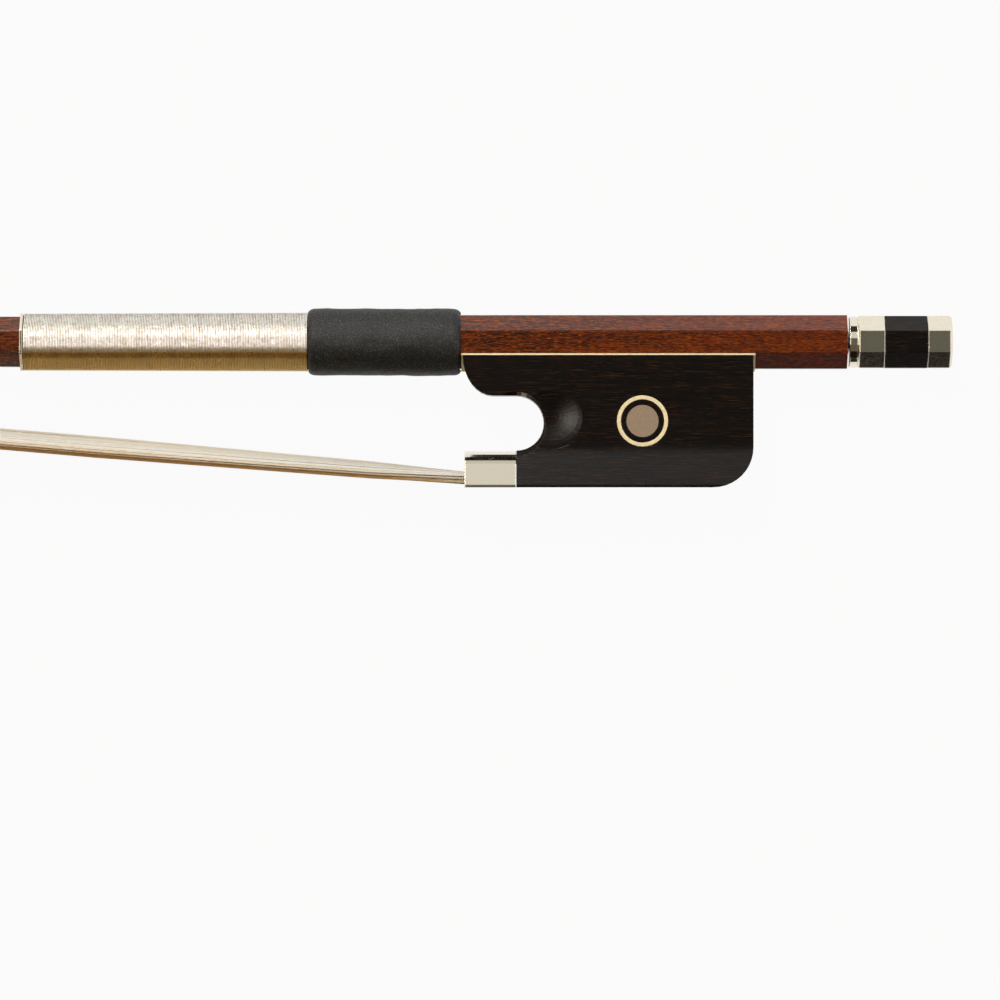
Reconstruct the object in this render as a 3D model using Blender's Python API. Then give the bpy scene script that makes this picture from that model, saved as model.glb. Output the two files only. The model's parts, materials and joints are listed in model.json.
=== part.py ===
"""A viola bow lying on its side.

X runs along the handle towards the screw button, Y from the hair towards the back of the stick,
and Z up through the thickness. The pieces are built round the axis of the tension screw, with X = 0
at the front of the frog, and one empty then sets the whole bow down centred on the floor.
"""
import math

import bmesh
import bpy
from mathutils import Matrix, Vector

mm = 0.001

# Clearances
fit_gap = 0.3 * mm       # between pieces that slide, screw or plug in
glue_gap = 0.1 * mm      # between a thin layer and what carries it
overcut = 1.0 * mm       # how far a cutter passes a face that it opens

# Stick: an octagon that tapers and bends away from the hair
stick_end = 63.9 * mm            # end of the stick at the button
handle_width = 8.9 * mm          # across flats where the frog slides
handle_front = -6.0 * mm         # where the taper begins
winding_width = 8.3 * mm         # across flats at the far end of the winding
middle_width = 7.9 * mm          # across flats halfway along
upper_width = 7.3 * mm           # across flats a hand's breadth from the head
neck_width = 6.1 * mm            # across flats where the head begins
neck_distance = 630.0 * mm       # from the front of the frog to the neck
camber_start = 65.0 * mm         # from the front of the frog to where the bend begins
camber_rise = 57.46 * mm         # height of the neck over the handle's line, from the even bend
upper_length = 100.0 * mm        # length of the more strongly bent stretch before the neck
upper_rise = 2.45 * mm           # height that this stretch adds
stick_step = 20.0 * mm           # spacing of the octagons along the bend

# Head, measured from the neck along and across the end of the stick
head_height = 19.5 * mm          # stick axis to the bed of the tip plate at its heel
head_reach = 27.0 * mm           # neck to the nose of the wood
head_heel = 5.4 * mm             # neck to the heel of the plate
head_width = 10.4 * mm           # widest, at the plate
ridge_width = 1.8 * mm           # narrow front edge
liner_thickness = 0.4 * mm
plate_thickness = 0.85 * mm
lip_height = 3.45 * mm           # the plate's upturned nose, over its lower corner
lip_lean = 0.6 * mm              # and how far it leans back there
window_front = 16.3 * mm         # neck to the front wall of the hair mortise
window_rear = 9.6 * mm
window_width = 6.6 * mm
head_mortise_depth = 6.0 * mm

# Grip
leather_length = 25.4 * mm
leather_diameter = 11.25 * mm
leather_round = 1.2 * mm         # rounding of its two ends
leather_ease = 1.05              # corners of the leather, as a share of half its width
sleeve_length = 47.6 * mm
sleeve_wall = 0.15 * mm
layer_gap = 0.06 * mm            # between stick, sleeve and wire
wire_diameter = 0.3 * mm
wire_turns = 23

# Frog
frog_length = 48.2 * mm
frog_bottom = -24.2 * mm         # face of the pearl slide and of the ferrule
frog_top = -2.35 * mm            # edges beside the stick
frog_top_width = 10.4 * mm
frog_waist_width = 10.7 * mm
frog_waist = -16.6 * mm          # where the sides begin to flare
flare_height = 2.4 * mm          # of the curve from there to the slanted foot
frog_foot_width = 13.8 * mm
frog_land = 0.4 * mm             # height of the upright rim below the slant
front_reach = 5.0 * mm           # how far the curved front runs back
throat_radius = 4.55 * mm
throat_centre = 8.9 * mm         # behind the front of the frog
throat_roof = -9.0 * mm
throat_chamfer = 0.75 * mm
cheek_depth = 0.6 * mm           # of the hollow in each side behind the throat
cheek_length = 12.4 * mm
cheek_height = 11.0 * mm
cheek_centre = (14.5 * mm, -12.4 * mm)
heel_radius = 6.7 * mm
liner_metal = 0.35 * mm          # thickness of the underslide
flange_thickness = 0.3 * mm      # of the underslide's edges over the frog's
flange_proud = 0.05 * mm         # how far they stand out of the frog's sides
front_overhang = 0.25 * mm       # of the underslide at the two ends of the frog
rear_overhang = 0.35 * mm
front_screw = 13.5 * mm          # underslide screws: from the front of the frog
rear_screw_inset = 5.2 * mm      # and from its rear
underslide_screw_diameter = 1.2 * mm
underslide_screw_head = 2.0 * mm
underslide_screw_length = 3.2 * mm
underslide_screw_point = 0.8 * mm

# Ferrule, wedge and slide
ferrule_length = 8.5 * mm
ferrule_wall = 0.45 * mm
crown_height = 2.2 * mm          # of the ferrule's round top
wedge_thickness = 0.8 * mm
wedge_length = 5.0 * mm
slide_inset = 7.2 * mm           # rear of the slide to the rear of the frog
slide_mouth_width = 8.4 * mm     # of the dovetail groove, at the face
slide_root_width = 9.6 * mm
pearl_thickness = 0.9 * mm
carrier_thickness = 1.5 * mm
hair_channel_height = 1.2 * mm
frog_mortise_front = 21.0 * mm
frog_mortise_length = 10.0 * mm
frog_mortise_width = 7.0 * mm
frog_mortise_depth = 5.0 * mm

# Eyes on the two sides of the frog
eye_inset = 18.4 * mm            # middle of the eye to the rear of the frog
eye_drop = 13.2 * mm             # and below the screw axis
eye_ring_diameter = 8.5 * mm
eye_ring_band = 0.65 * mm
eye_dot_diameter = 5.35 * mm
eye_thickness = 0.6 * mm

# Tension screw, eyelet and button
tension_travel = 6.0 * mm
rod_diameter = 3.0 * mm
rod_front = 15.0 * mm            # front end of the thread
rod_tip_diameter = 1.8 * mm
rod_tip_length = 3.0 * mm
rod_tip_chamfer = 0.5 * mm
eyelet_position = 26.0 * mm
eyelet_length = 5.0 * mm
eyelet_width = 4.0 * mm
eyelet_height = 5.4 * mm
eyelet_stem_diameter = 2.6 * mm
eyelet_stem_depth = 10.5 * mm    # below the screw axis
button_width = 8.65 * mm         # across flats
collar_length = 1.5 * mm
collar_diameter = 8.55 * mm
collar_chamfer = 0.15 * mm
front_ring_length = 4.4 * mm
core_length = 7.0 * mm
end_cap_length = 4.05 * mm
ring_wall = 0.9 * mm
cap_floor = 1.2 * mm
button_chamfer = 0.4 * mm

# Hair
hair_width_frog = 10.2 * mm
hair_width_head = 5.8 * mm
hair_thickness = 0.6 * mm        # of the flat ribbon in the head and in the frog
hair_loose_thickness = 1.1 * mm  # in the open
hair_mouth_thickness = 1.4 * mm  # where it leaves the ferrule
hair_fan = 30.0 * mm             # over which it opens out from the head
hair_roll = 12.0                 # degrees, the near edge down, along the middle
hair_mouth_roll = 3.0            # degrees, at the mouth of the ferrule
hair_twist = 25.0 * mm           # over which the roll comes and goes
hair_drop = 22.6 * mm            # below the screw axis at the mouth of the ferrule
hair_slack = 2.6 * mm            # bulge of the loosened hair away from the stick
hair_step = 18.0 * mm
hair_ridges = 8
hair_dip = 3.4 * mm              # from the throat line forward to where the hair lies level
tip_hair_bend = 1.4 * mm         # radius of the hair's turn into the head
tip_knot_diameter = 1.9 * mm
frog_knot_diameter = 2.4 * mm

eighth = math.tan(math.pi / 8)
screw_axis = Vector((0.0, 0.0, 0.0))


def finish(name, colour, roughness, metallic=0.0):
    """A plain material for one kind of piece."""
    material = bpy.data.materials.new(name)
    material.use_nodes = True
    shader = material.node_tree.nodes["Principled BSDF"]
    shader.inputs["Base Color"].default_value = (*colour, 1.0)
    shader.inputs["Roughness"].default_value = roughness
    shader.inputs["Metallic"].default_value = metallic
    material.diffuse_color = (*colour, 1.0)
    return material


def empty(name, parent=None):
    """A frame that carries pieces, at the screw axis."""
    frame = bpy.data.objects.new(name, None)
    frame.parent = parent
    bpy.context.collection.objects.link(frame)
    return frame


def piece(name, shape, carrier, material):
    """Turn a bmesh into a named object on its carrier."""
    mesh = bpy.data.meshes.new(name)
    bmesh.ops.recalc_face_normals(shape, faces=shape.faces)
    if shape.calc_volume(signed=True) < 0:
        bmesh.ops.reverse_faces(shape, faces=shape.faces)
    shape.to_mesh(mesh)
    shape.free()
    mesh.materials.append(material)
    mesh.shade_smooth()
    mesh.set_sharp_from_angle(angle=math.radians(32))
    part = bpy.data.objects.new(name, mesh)
    part.parent = carrier
    bpy.context.collection.objects.link(part)
    return part


def combine(target, name, shape, operation):
    """Boolean a hidden shape into a piece, and leave the modifier on it."""
    tool = piece(name, shape, target.parent, target.data.materials[0])
    tool.hide_render = True
    tool.display_type = "WIRE"
    modifier = target.modifiers.new(name, "BOOLEAN")
    modifier.operation = operation
    modifier.object = tool
    modifier.solver = "EXACT"


def cut(target, name, shape):
    combine(target, name, shape, "DIFFERENCE")


def keep(target, name, shape):
    combine(target, name, shape, "INTERSECT")


def join(target, name, shape):
    combine(target, name, shape, "UNION")


def even_shading(target):
    """Weigh the normals by face area, so that cut faces still shade flat."""
    modifier = target.modifiers.new("even_shading", "WEIGHTED_NORMAL")
    modifier.keep_sharp = True


def loft(rings, closed=False):
    """A skin over rings of equal count, with flat ends unless it closes on itself."""
    shape = bmesh.new()
    loops = [[shape.verts.new(point) for point in ring] for ring in rings]
    pairs = list(zip(loops, loops[1:]))
    if closed:
        pairs.append((loops[-1], loops[0]))
    for one, two in pairs:
        for i in range(len(one)):
            j = (i + 1) % len(one)
            shape.faces.new((one[i], one[j], two[j], two[i]))
    if not closed:
        shape.faces.new(loops[0])
        shape.faces.new(loops[-1])
    return shape


def lift(point, axis, level):
    """A point from its level along one axis and its other two coordinates in XYZ order."""
    values = list(point)
    values.insert("XYZ".index(axis), level)
    return Vector(values)


def prism(outline, axis, low, high):
    """Extrude an outline along one axis."""
    return loft([[lift(point, axis, level) for point in outline] for level in (low, high)])


def box(x, y, z):
    """A block from three (low, high) pairs."""
    return prism([(x[0], y[0]), (x[1], y[0]), (x[1], y[1]), (x[0], y[1])], "Z", *z)


def circles(profile, centre, axis, sides):
    """Rings of points for (distance along, radius) pairs round an axis through a centre."""
    rings = []
    for along, radius in profile:
        ring = []
        for i in range(sides):
            angle = 2 * math.pi * i / sides
            across = (radius * math.cos(angle), radius * math.sin(angle))
            ring.append(lift(across, axis, along) + Vector(centre))
        rings.append(ring)
    return rings


def turned(profile, centre, axis, sides=32):
    """Revolve (distance along, radius) pairs round an axis through a centre."""
    return loft(circles(profile, centre, axis, sides))


def tube(profile, bore, centre, axis, sides=32):
    """Revolve a profile that has a plain bore through it."""
    walls = [*profile, (profile[-1][0], bore), (profile[0][0], bore)]
    return loft(circles(walls, centre, axis, sides), closed=True)


def bundle(half, radius, centre):
    """A bound hair end: a short roll across the bow with rounded ends."""
    return turned([(-half, 0.6 * radius), (0.6 * radius - half, radius),
                   (half - 0.6 * radius, radius), (half, 0.6 * radius)], centre, "Z", 12)


def arc(centre, radius, first, last, steps):
    """Points on an arc, angles in degrees; a pair of radii gives an ellipse."""
    wide, high = radius if isinstance(radius, tuple) else (radius, radius)
    points = []
    for i in range(steps + 1):
        angle = math.radians(first + (last - first) * i / steps)
        points.append((centre[0] + wide * math.cos(angle), centre[1] + high * math.sin(angle)))
    return points


def between(table, x):
    """Straight interpolation in a list of (x, value) pairs with rising x."""
    for (x0, value0), (x1, value1) in zip(table, table[1:]):
        if x <= x1:
            share = max(0.0, (x - x0) / (x1 - x0))
            return value0 + (value1 - value0) * share
    return table[-1][1]


def smooth(points, steps):
    """A smooth curve through a few points, by Catmull-Rom."""
    ends = [2 * points[0] - points[1], *points, 2 * points[-1] - points[-2]]
    curve = []
    for a, b, c, d in zip(ends, ends[1:], ends[2:], ends[3:]):
        for i in range(steps):
            t = i / steps
            curve.append(0.5 * (2 * b + (c - a) * t + (2 * a - 5 * b + 4 * c - d) * t ** 2
                                + (3 * b - a - 3 * c + d) * t ** 3))
    curve.append(points[-1].copy())
    return curve


# The line of the stick

leather_front = -(front_overhang + glue_gap)                  # end of the leather at the frog
sleeve_front = leather_front - leather_length - glue_gap      # end of the winding at the leather
sleeve_rear = sleeve_front - sleeve_length
taper = [(-neck_distance, neck_width), (upper_length - neck_distance, upper_width),
         (-neck_distance / 2, middle_width), (sleeve_rear, winding_width),
         (handle_front, handle_width), (stick_end, handle_width)]


def stick_half(x):
    """Half the width of the stick across its flats."""
    return between(taper, x) / 2


def camber(x):
    """Height and slope of the stick's axis at x, from two parabolas."""
    span = neck_distance - camber_start
    main = max(0.0, -x - camber_start) / span
    upper = max(0.0, -x - neck_distance + upper_length) / upper_length
    height = camber_rise * main ** 2 + upper_rise * upper ** 2
    return height, 2 * (camber_rise * main / span + upper_rise * upper / upper_length)


def octagon(half):
    """Ten points round an octagon in (across, up): the two side flats have a middle point."""
    corner = half * eighth
    return [(corner, half), (half, corner), (half, 0.0), (half, -corner), (corner, -half),
            (-corner, -half), (-half, -corner), (-half, 0.0), (-half, corner), (-corner, half)]


neck_height, neck_slope = camber(-neck_distance)
neck_frame = (Matrix.Translation((-neck_distance, neck_height, 0.0))
              @ Matrix.Rotation(-math.atan(neck_slope), 4, "Z"))


def stick_ring(x):
    """The octagon square to the stick's axis at x."""
    height, slope = camber(x)
    up = Vector((slope, 1.0, 0.0)).normalized()
    middle = Vector((x, height, 0.0))
    return [middle + up * rise + Vector((0.0, 0.0, side)) for side, rise in octagon(stick_half(x))]


def head_rings():
    """Sections that fan round the throat of the head, from the neck down past the plate's bed."""
    low = head_height
    reach = head_reach
    half = neck_width / 2
    # Pairs of (outer point, inner point) in the frame of the neck
    pairs = [((-0.13 * reach, half), (-0.06 * reach, -0.97 * half)),
             ((-0.30 * reach, 1.01 * half), (-0.12 * reach, -1.14 * half)),
             ((-0.46 * reach, 1.02 * half), (-0.178 * reach, -0.25 * low)),
             ((-0.575 * reach, 0.90 * half), (-0.207 * reach, -0.33 * low)),
             ((-0.625 * reach, 0.45 * half), (-0.222 * reach, -0.40 * low)),
             ((-0.655 * reach, -0.05 * low), (-0.235 * reach, -0.48 * low)),
             ((-0.697 * reach, -0.21 * low), (-0.239 * reach, -0.60 * low)),
             ((-0.75 * reach, -0.43 * low), (-0.237 * reach, -0.72 * low)),
             ((-0.80 * reach, -0.63 * low), (-0.231 * reach, -0.83 * low)),
             ((-0.835 * reach, -0.75 * low), (-0.224 * reach, -0.91 * low)),
             ((-0.915 * reach, -0.815 * low), (-0.213 * reach, -0.98 * low)),
             ((-0.983 * reach, -0.785 * low), (-0.206 * reach, -1.05 * low)),
             ((-0.998 * reach, -0.95 * low), (-0.198 * reach, -1.16 * low))]
    outer = smooth([Vector(pair[0]) for pair in pairs], 2)
    inner = smooth([Vector(pair[1]) for pair in pairs], 2)
    rings = []
    count = len(outer) - 1
    for i, (front, back) in enumerate(zip(outer, inner)):
        share = max(0.0, (i / count - 0.16) / 0.84)
        side = head_section(back, front, share * share * (3 - 2 * share))
        ring = [Vector((p.x, p.y, w)) for p, w in reversed(side)]
        ring += [Vector((p.x, p.y, -w)) for p, w in side]
        rings.append([neck_frame @ point for point in ring])
    return rings


def head_section(back, front, share):
    """Points and half widths from throat to front, between the octagon and the plate's outline."""
    half = neck_width / 2

    def at(t):
        point = back + (front - back) * t
        return point, half + (plate_half(-point.x) - half) * share

    def blend(slim, broad):
        return slim + (broad - slim) * share

    ridge = blend(half * eighth, ridge_width / 2)
    shoulder = 1 - (at(0.75)[1] - ridge) / (front - back).length
    throat_corner = blend((1 - eighth) / 2, 0.09)
    return [(back, at(0.0)[1] * blend(eighth, 0.88)), at(throat_corner),
            at((throat_corner + shoulder) / 2), at(shoulder), (front, ridge)]


def plate_half(x):
    """Half width of the tip plate at a distance from the neck."""
    return between([(-point.x, point.y) for point in plate_side()], x)


def plate_side():
    """Plan of the tip plate, one side: round-shouldered, drawn to the nose."""
    nose = head_reach + glue_gap + plate_thickness
    stations = [(head_heel, 0.86), (0.36 * head_reach, 0.96), (0.55 * head_reach, 1.0),
                (0.74 * head_reach, 0.88), (0.88 * head_reach, 0.60), (nose, 0.20)]
    return smooth([Vector((-x, share * head_width / 2)) for x, share in stations], 2)


def bed(x, below=0.0):
    """The curve that the tip plate follows, in the frame of the neck."""
    share = (-x - head_heel) / (head_reach - head_heel)
    return -head_height + (0.018 * share + 0.117 * share ** 2) * head_height - below


def bed_line(below, front=0.0, rear=0.0, steps=8):
    """Points under the bed from nose to heel, each end drawn out a little if asked."""
    stations = [-head_reach + (head_reach - head_heel) * i / steps for i in range(steps + 1)]
    stations[0] -= front
    stations[-1] += rear
    return [(x, bed(x, below)) for x in stations]


def leaf():
    """The whole plan of the tip plate, as a tall prism in (x, z)."""
    side = plate_side()
    outline = [(p.x, p.y) for p in side] + [(p.x, -p.y) for p in reversed(side)]
    return in_head(prism(outline, "Y", -2 * head_height, head_height))


def in_head(shape):
    """Move a shape from the frame of the neck to the bow's."""
    bmesh.ops.transform(shape, matrix=neck_frame, verts=shape.verts)
    return shape


def head_window(low, high):
    """The rectangular way that the hair takes into the head."""
    half = window_width / 2
    return in_head(box((-window_front, -window_rear), (low, high), (-half, half)))


# Stick and head

def make_stick(carrier, wood):
    stations = [stick_end, handle_front]
    span = neck_distance - camber_start
    count = math.ceil(span / stick_step)
    stations += [-camber_start - span * i / count for i in range(count + 1)]
    rings = [stick_ring(x) for x in stations] + head_rings()
    stick = piece("stick", loft(rings), carrier, wood)

    below = head_height + 4 * overcut
    floor = bed_line(0.0, 3 * overcut, 3 * overcut)
    trench = floor + [(floor[-1][0], -below), (floor[0][0], -below)]
    cut(stick, "plate_bed", in_head(prism(trench, "Z", -head_width, head_width)))
    cut(stick, "head_mortise", head_window(-below, head_mortise_depth - head_height))

    bore = rod_diameter / 2 + fit_gap
    tip = rod_tip_diameter / 2 + fit_gap
    shoulder = rod_front - fit_gap
    nose = shoulder - rod_tip_length - fit_gap
    cut(stick, "screw_bore", turned([(nose, tip), (shoulder, tip), (shoulder, bore),
                                     (stick_end + overcut, bore)], screw_axis, "X"))
    slot = (eyelet_position - eyelet_length / 2 - fit_gap,
            eyelet_position + eyelet_length / 2 + tension_travel + fit_gap)
    side = eyelet_width / 2 + fit_gap
    cut(stick, "eyelet_mortise", box(slot, (-handle_width, eyelet_height / 2 + fit_gap),
                                     (-side, side)))
    even_shading(stick)


def make_tip(carrier, ebony, bone, maple, thread):
    liner = glue_gap + liner_thickness
    plate_top = liner + glue_gap
    plate_bottom = plate_top + plate_thickness

    profile = bed_line(glue_gap) + list(reversed(bed_line(liner)))
    part = piece("tip_liner", in_head(prism(profile, "Z", -head_width, head_width)), carrier, ebony)
    keep(part, "tip_liner_outline", leaf())
    cut(part, "tip_liner_window", head_window(-2 * head_height, 0.0))
    even_shading(part)

    # Shares of the plate's thickness and of the lip's height, up the front and down the inside
    profile = bed_line(plate_top, glue_gap)
    profile += list(reversed(bed_line(plate_bottom, plate_thickness)))
    corner = Vector(profile[-1])
    tip = corner + Vector((lip_lean, lip_height))
    profile += [(start.x + along * plate_thickness, start.y + up * lip_height)
                for start, along, up in [(corner, -0.1, 0.19), (corner, 0.0, 0.6),
                                         (tip, -0.3, -0.06), (tip, 0.0, 0.0), (tip, 0.4, -0.04),
                                         (tip, 0.7, -0.16), (tip, 0.4, -0.6)]]
    part = piece("tip_plate", in_head(prism(profile, "Z", -head_width, head_width)), carrier, bone)
    keep(part, "tip_plate_outline", leaf())
    cut(part, "tip_plate_window", head_window(-2 * head_height, 0.0))
    even_shading(part)

    inner = window_width / 2 - fit_gap
    front = -window_front + fit_gap * 2 + hair_thickness
    roof = head_mortise_depth - head_height - fit_gap
    radius = tip_knot_diameter / 2
    step = roof - 2 * radius - fit_gap
    rear = -window_rear - fit_gap
    rest = front + 2 * radius + fit_gap
    bend = front + tip_hair_bend
    plug = [(front, bed(front, plate_top) + tip_hair_bend), (bend, bed(bend, plate_top)),
            (rear, bed(rear, plate_top)), (rear, roof), (rest, roof), (rest, step), (front, step)]
    piece("tip_plug", in_head(prism(plug, "Z", -inner, inner)), carrier, maple)
    centre = (-window_front + fit_gap + radius, roof - radius, 0.0)
    piece("tip_hair_knot", in_head(bundle(inner, radius, centre)), carrier, thread)


# Grip

wrap_points = 24                 # an octagon's corners and two points on each flat
sharp_corner = 1 / math.cos(math.pi / 8)


def wrap_point(half, step, ease):
    """A point of an octagon whose corners are eased, in (up, side)."""
    angle = 2 * math.pi * (step + 0.5) / wrap_points
    turn = (angle + math.pi / 8) % (math.pi / 4) - math.pi / 8
    reach = min(half / math.cos(turn), half * ease)
    return reach * math.cos(angle), reach * math.sin(angle)


def wrap_ring(x, height, ease=sharp_corner):
    """An octagon round the stick at x, a given height over its flats."""
    half = stick_half(x) + height
    return [Vector((x, *wrap_point(half, i, ease))) for i in range(wrap_points)]


def make_grip(carrier, leather, silk, silver):
    front = leather_front
    back = front - leather_length
    thick = leather_diameter / 2
    turns = 4
    rings = []
    for i in range(turns + 1):
        angle = math.pi / 2 * i / turns
        x = back + leather_round * (1 - math.cos(angle))
        height = thick - stick_half(x) - leather_round * (1 - math.sin(angle))
        rings.append(wrap_ring(x, height, leather_ease))
    for i in range(turns + 1):
        angle = math.pi / 2 * i / turns
        x = front - leather_round * (1 - math.sin(angle))
        height = thick - stick_half(x) - leather_round * (1 - math.cos(angle))
        rings.append(wrap_ring(x, height, leather_ease))
    rings += [wrap_ring(x, glue_gap) for x in (front, handle_front, back)]
    piece("leather_grip", loft(rings, closed=True), carrier, leather)

    outer = layer_gap + sleeve_wall
    rings = [wrap_ring(sleeve_rear, outer), wrap_ring(sleeve_front, outer),
             wrap_ring(sleeve_front, layer_gap), wrap_ring(sleeve_rear, layer_gap)]
    piece("winding_sleeve", loft(rings, closed=True), carrier, silk)
    make_winding(carrier, outer + layer_gap + wire_diameter / 2, silver)


def make_winding(carrier, height, silver):
    """One silver wire in open turns over the sleeve."""
    steps = wrap_points
    margin = wire_diameter
    pitch = (sleeve_length - 2 * margin) / wire_turns
    points = []
    for i in range(wire_turns * steps + 1):
        x = sleeve_front - margin - pitch * i / steps
        points.append(Vector((x, *wrap_point(stick_half(x) + height, i, sharp_corner))))
    first = (points[0] - points[1]).normalized()
    last = (points[-1] - points[-2]).normalized()
    points.insert(0, points[0] + first * wire_diameter)
    points.append(points[-1] + last * wire_diameter)

    nearest = min((a - b).length for i, a in enumerate(points)
                  for b in points[i + steps // 2:i + steps + steps // 2])
    print("least gap of the winding to itself: %.2f mm" % ((nearest - wire_diameter) / mm))

    curve = bpy.data.curves.new("winding_wire", "CURVE")
    curve.dimensions = "3D"
    curve.bevel_depth = wire_diameter / 2
    curve.bevel_resolution = 1
    curve.use_fill_caps = True
    spline = curve.splines.new("POLY")
    spline.points.add(len(points) - 1)
    for slot, point in zip(spline.points, points):
        slot.co = (*point, 1.0)
    curve.materials.append(silver)
    wire = bpy.data.objects.new("winding_wire", curve)
    wire.parent = carrier
    bpy.context.collection.objects.link(wire)


# Frog

def frog_outline():
    """Side view: curved front, round throat, straight foot and round heel."""
    front = arc((front_reach, frog_top), (front_reach, frog_top - throat_roof), 180, 270, 8)
    throat = arc((throat_centre, throat_roof - throat_radius), throat_radius, 90, -90, 18)
    heel = arc((frog_length - heel_radius, frog_bottom + heel_radius), heel_radius, 270, 360, 10)
    return front + throat + [(throat_centre, frog_bottom)] + heel + [(frog_length, frog_top)]


def foot_half(y):
    """Half the width of the foot at a height: a curve out of the waist, then a slant."""
    middle = frog_waist - flare_height / 2
    waist = frog_waist_width / 2
    slope = (frog_foot_width / 2 - waist) / (middle - foot_rim)
    if y > frog_waist - flare_height:
        return waist + slope * (frog_waist - y) ** 2 / (2 * flare_height)
    return waist + slope * (middle - y)


def frog_section(steps=6):
    """End view, half of it mirrored: straight sides, a curve, the slanted foot and its rim."""
    levels = [frog_waist - flare_height * i / steps for i in range(steps + 1)] + [foot_rim]
    side = [(frog_top, frog_top_width / 2)] + [(y, foot_half(y)) for y in levels]
    side.append((frog_bottom, frog_foot_width / 2))
    return side + [(y, -z) for y, z in reversed(side)]


def channel_section(half):
    """The three lower facets of an octagon, open upwards."""
    corner = half * eighth
    return [(overcut, half), (-corner, half), (-half, corner), (-half, -corner),
            (-corner, -half), (overcut, -half)]


def crown(inset, steps=12):
    """The round top of the ferrule's section in (y, z), drawn in by an inset."""
    wide = foot_half(tongue_floor) - inset
    high = ferrule_top - inset - tongue_floor
    return [(y, z) for z, y in arc((0.0, tongue_floor), (wide, high), 0, 180, steps)]


def arch(inset):
    """The whole section of the ferrule: its crown on the slant and the rim of the foot."""
    half = frog_foot_width / 2 - inset
    floor = frog_bottom + inset
    rim = floor + frog_land
    return crown(inset) + [(rim, -half), (floor, -half), (floor, half), (rim, half)]


foot_rim = frog_bottom + frog_land
underslide_inner = handle_width / 2 + glue_gap
underslide_outer = underslide_inner + liner_metal
ferrule_top = throat_roof - 2 * throat_radius
slide_front = throat_centre
slide_rear = frog_length - slide_inset
eye_position = (frog_length - eye_inset, -eye_drop)
underslide_screws = (front_screw, frog_length - rear_screw_inset)
slide_root = frog_bottom + pearl_thickness + glue_gap + carrier_thickness + fit_gap
tongue_floor = ferrule_top - crown_height
eye_face = frog_waist_width / 2


def cheek(side, steps=8):
    """A shallow oval dish that hollows one side of the frog and fades out at its rim."""
    radius = cheek_length / 2
    profile = [(side * (eye_face - cheek_depth * (1 - (i / steps) ** 2) ** 2), radius * i / steps)
               for i in range(1, steps + 1)]
    profile.append((side * (eye_face + overcut), radius))
    dish = turned(profile, (0.0, 0.0, 0.0), "Z", 28)
    place = Matrix.Translation((*cheek_centre, 0.0))
    oval = Matrix.Diagonal((1.0, cheek_height / cheek_length, 1.0, 1.0))
    bmesh.ops.transform(dish, matrix=place @ oval, verts=dish.verts)
    return dish


def make_frog_body(carrier, ebony):
    wide = frog_foot_width
    frog = piece("frog_body", prism(frog_outline(), "Z", -wide, wide), carrier, ebony)
    keep(frog, "frog_sides", prism(frog_section(), "X", -overcut, frog_length + overcut))

    join(frog, "ferrule_tongue",
         prism(crown(ferrule_wall + glue_gap), "X", 2 * fit_gap, throat_centre + throat_radius / 2))
    flare = 2 * overcut
    edge = eye_face - throat_chamfer
    radius = throat_radius
    cut(frog, "throat_edges", turned([(-edge - flare, radius + flare), (-edge, radius),
                                      (edge, radius), (edge + flare, radius + flare)],
                                     (throat_centre, throat_roof - throat_radius, 0.0), "Z", 36))
    for side, name in ((1, "near"), (-1, "far")):
        cut(frog, "cheek_" + name, cheek(side))

    cut(frog, "stick_channel", prism(channel_section(underslide_outer + glue_gap), "X",
                                     -overcut, frog_length + overcut))
    mouth = slide_mouth_width / 2
    root = slide_root_width / 2
    slope = (root - mouth) / (slide_root - frog_bottom)
    groove = [(frog_bottom - overcut, mouth - slope * overcut), (slide_root, root),
              (slide_root, -root), (frog_bottom - overcut, slope * overcut - mouth)]
    cut(frog, "slide_groove", prism(groove, "X", throat_centre - overcut, slide_rear + fit_gap))
    channel = slide_root_width / 2 - 2 * fit_gap
    end = frog_mortise_front + frog_mortise_length
    cut(frog, "hair_channel", box((throat_centre - overcut, end),
                                  (slide_root - overcut, slide_root + hair_channel_height),
                                  (-channel, channel)))
    half = frog_mortise_width / 2
    cut(frog, "frog_mortise", box((frog_mortise_front, end),
                                  (slide_root, slide_root + frog_mortise_depth), (-half, half)))

    cut(frog, "eyelet_hole", turned([(-eyelet_stem_depth - fit_gap,
                                      eyelet_stem_diameter / 2 + fit_gap),
                                     (0.0, eyelet_stem_diameter / 2 + fit_gap)],
                                    (eyelet_position, 0.0, 0.0), "Y", 16))
    depth = underslide_outer + underslide_screw_length + fit_gap
    for index, x in enumerate(underslide_screws):
        cut(frog, "underslide_screw_hole_%d" % (index + 1),
            turned([(-depth, underslide_screw_diameter / 2 + fit_gap),
                    (0.0, underslide_screw_diameter / 2 + fit_gap)], (x, 0.0, 0.0), "Y", 12))
    ring = eye_ring_diameter / 2
    for side, name in ((1, "near"), (-1, "far")):
        floor = side * (eye_face - eye_thickness - glue_gap)
        face = side * (eye_face + overcut)
        low, high = sorted((floor, face))
        centre = (*eye_position, 0.0)
        cut(frog, "eye_groove_" + name,
            tube([(low, ring + glue_gap), (high, ring + glue_gap)],
                 ring - eye_ring_band - glue_gap, centre, "Z", 32))
        cut(frog, "eye_seat_" + name,
            turned([(low, eye_dot_diameter / 2 + glue_gap),
                    (high, eye_dot_diameter / 2 + glue_gap)], centre, "Z", 24))
    even_shading(frog)


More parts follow.
